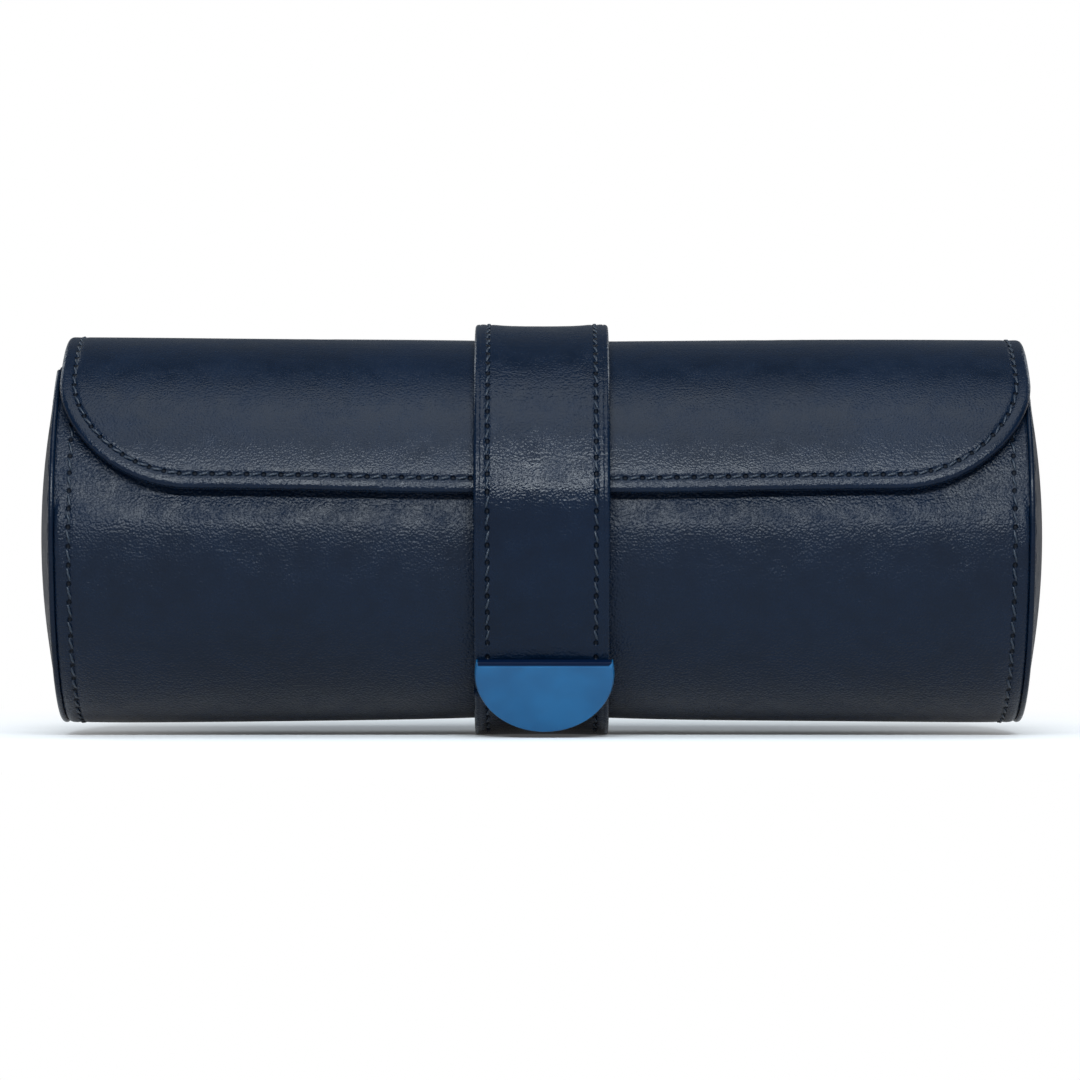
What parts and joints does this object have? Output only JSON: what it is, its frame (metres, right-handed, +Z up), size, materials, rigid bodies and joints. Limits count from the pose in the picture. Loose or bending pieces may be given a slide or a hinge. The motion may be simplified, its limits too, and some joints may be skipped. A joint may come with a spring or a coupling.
{
  "type": "watch travel case",
  "caption": "Cylindrical leather roll that carries watches on lift-out cushions, with a hinged flap, a strap tongue and a half-moon magnetic closure.",
  "frame": {"origin": "middle of the flat on the strap that the case rests on", "axes": "+X along the roll to the right, front toward -Y, +Z up"},
  "size_m": [0.1988, 0.0837, 0.0817],
  "materials": {
    "body_leather": "fine pebbled navy leather, semi-matt",
    "edge_leather": "turned leather edge, slightly glossier",
    "strap_leather": "smooth-pebbled navy strap leather with sewn edges",
    "backing_leather": "plain navy backing leather with painted cut edges",
    "suede": "soft grey suede",
    "board": "stiff lining board, hidden",
    "foam": "soft foam, hidden",
    "clasp_plate": "blue lacquered half-moon plate with a bevelled straight edge",
    "rivet_steel": "plain steel, hidden",
    "magnet": "plated magnet, hidden"
  },
  "bodies": {
    "case": {"case_board": "board", "case_leather": "body_leather", "case_lining": "suede", "front_lip_binding": "edge_leather", "back_strip_leather": "body_leather", "back_strip_filler": "board", "lower_strap_face": "strap_leather", "lower_strap_backing": "backing_leather", "case_magnet": "magnet", "left_end_board": "board", "left_end_lining": "suede", "left_end_pad": "foam", "left_end_leather": "body_leather", "left_end_welt": "edge_leather", "right_end_board": "board", "right_end_lining": "suede", "right_end_pad": "foam", "right_end_leather": "body_leather", "right_end_welt": "edge_leather", "bed_left": "suede", "bed_middle": "suede", "bed_right": "suede", "divider_left": "suede", "divider_left_board": "board", "divider_right": "suede", "divider_right_board": "board"},
    "flap": {"flap_board": "board", "flap_leather": "body_leather", "flap_lining": "suede", "flap_edge": "edge_leather", "upper_strap_face": "strap_leather", "upper_strap_backing": "backing_leather"},
    "tongue": {"tongue_face": "strap_leather", "tongue_backing": "backing_leather", "half_moon_plate": "clasp_plate", "plate_rivets": "rivet_steel", "tongue_magnet": "magnet"},
    "cushion_left_body": {"cushion_left": "suede", "cushion_left_core": "foam"},
    "cushion_middle_body": {"cushion_middle": "suede", "cushion_middle_core": "foam"},
    "cushion_right_body": {"cushion_right": "suede", "cushion_right_core": "foam"}
  },
  "joints": [
    {"name": "flap_hinge", "type": "hinge", "parent": "case", "child": "flap", "pos_m": [0, 0.03985, 0.03651], "axis": [-1, 0, 0], "range_deg": [0, 120]},
    {"name": "tongue_fold", "type": "hinge", "parent": "flap", "child": "tongue", "pos_m": [0, -0.04133, 0.04961], "axis": [-1, 0, 0], "range_deg": [0, 96]},
    {"name": "cushion_left_lift", "type": "slide", "parent": "case", "child": "cushion_left_body", "axis": [0, 0.5113, 0.8594], "range_m": [0, 0.065]},
    {"name": "cushion_middle_lift", "type": "slide", "parent": "case", "child": "cushion_middle_body", "axis": [0, 0.5113, 0.8594], "range_m": [0, 0.065]},
    {"name": "cushion_right_lift", "type": "slide", "parent": "case", "child": "cushion_right_body", "axis": [0, 0.5113, 0.8594], "range_m": [0, 0.065]}
  ],
  "couplings": [
    {"joint": "tongue_fold", "follows": "flap_hinge", "ratio": 0.8},
    {"joint": "cushion_left_lift", "follows": "flap_hinge", "m_per_rad": 0.031},
    {"joint": "cushion_middle_lift", "follows": "flap_hinge", "m_per_rad": 0.031},
    {"joint": "cushion_right_lift", "follows": "flap_hinge", "m_per_rad": 0.031}
  ]
}
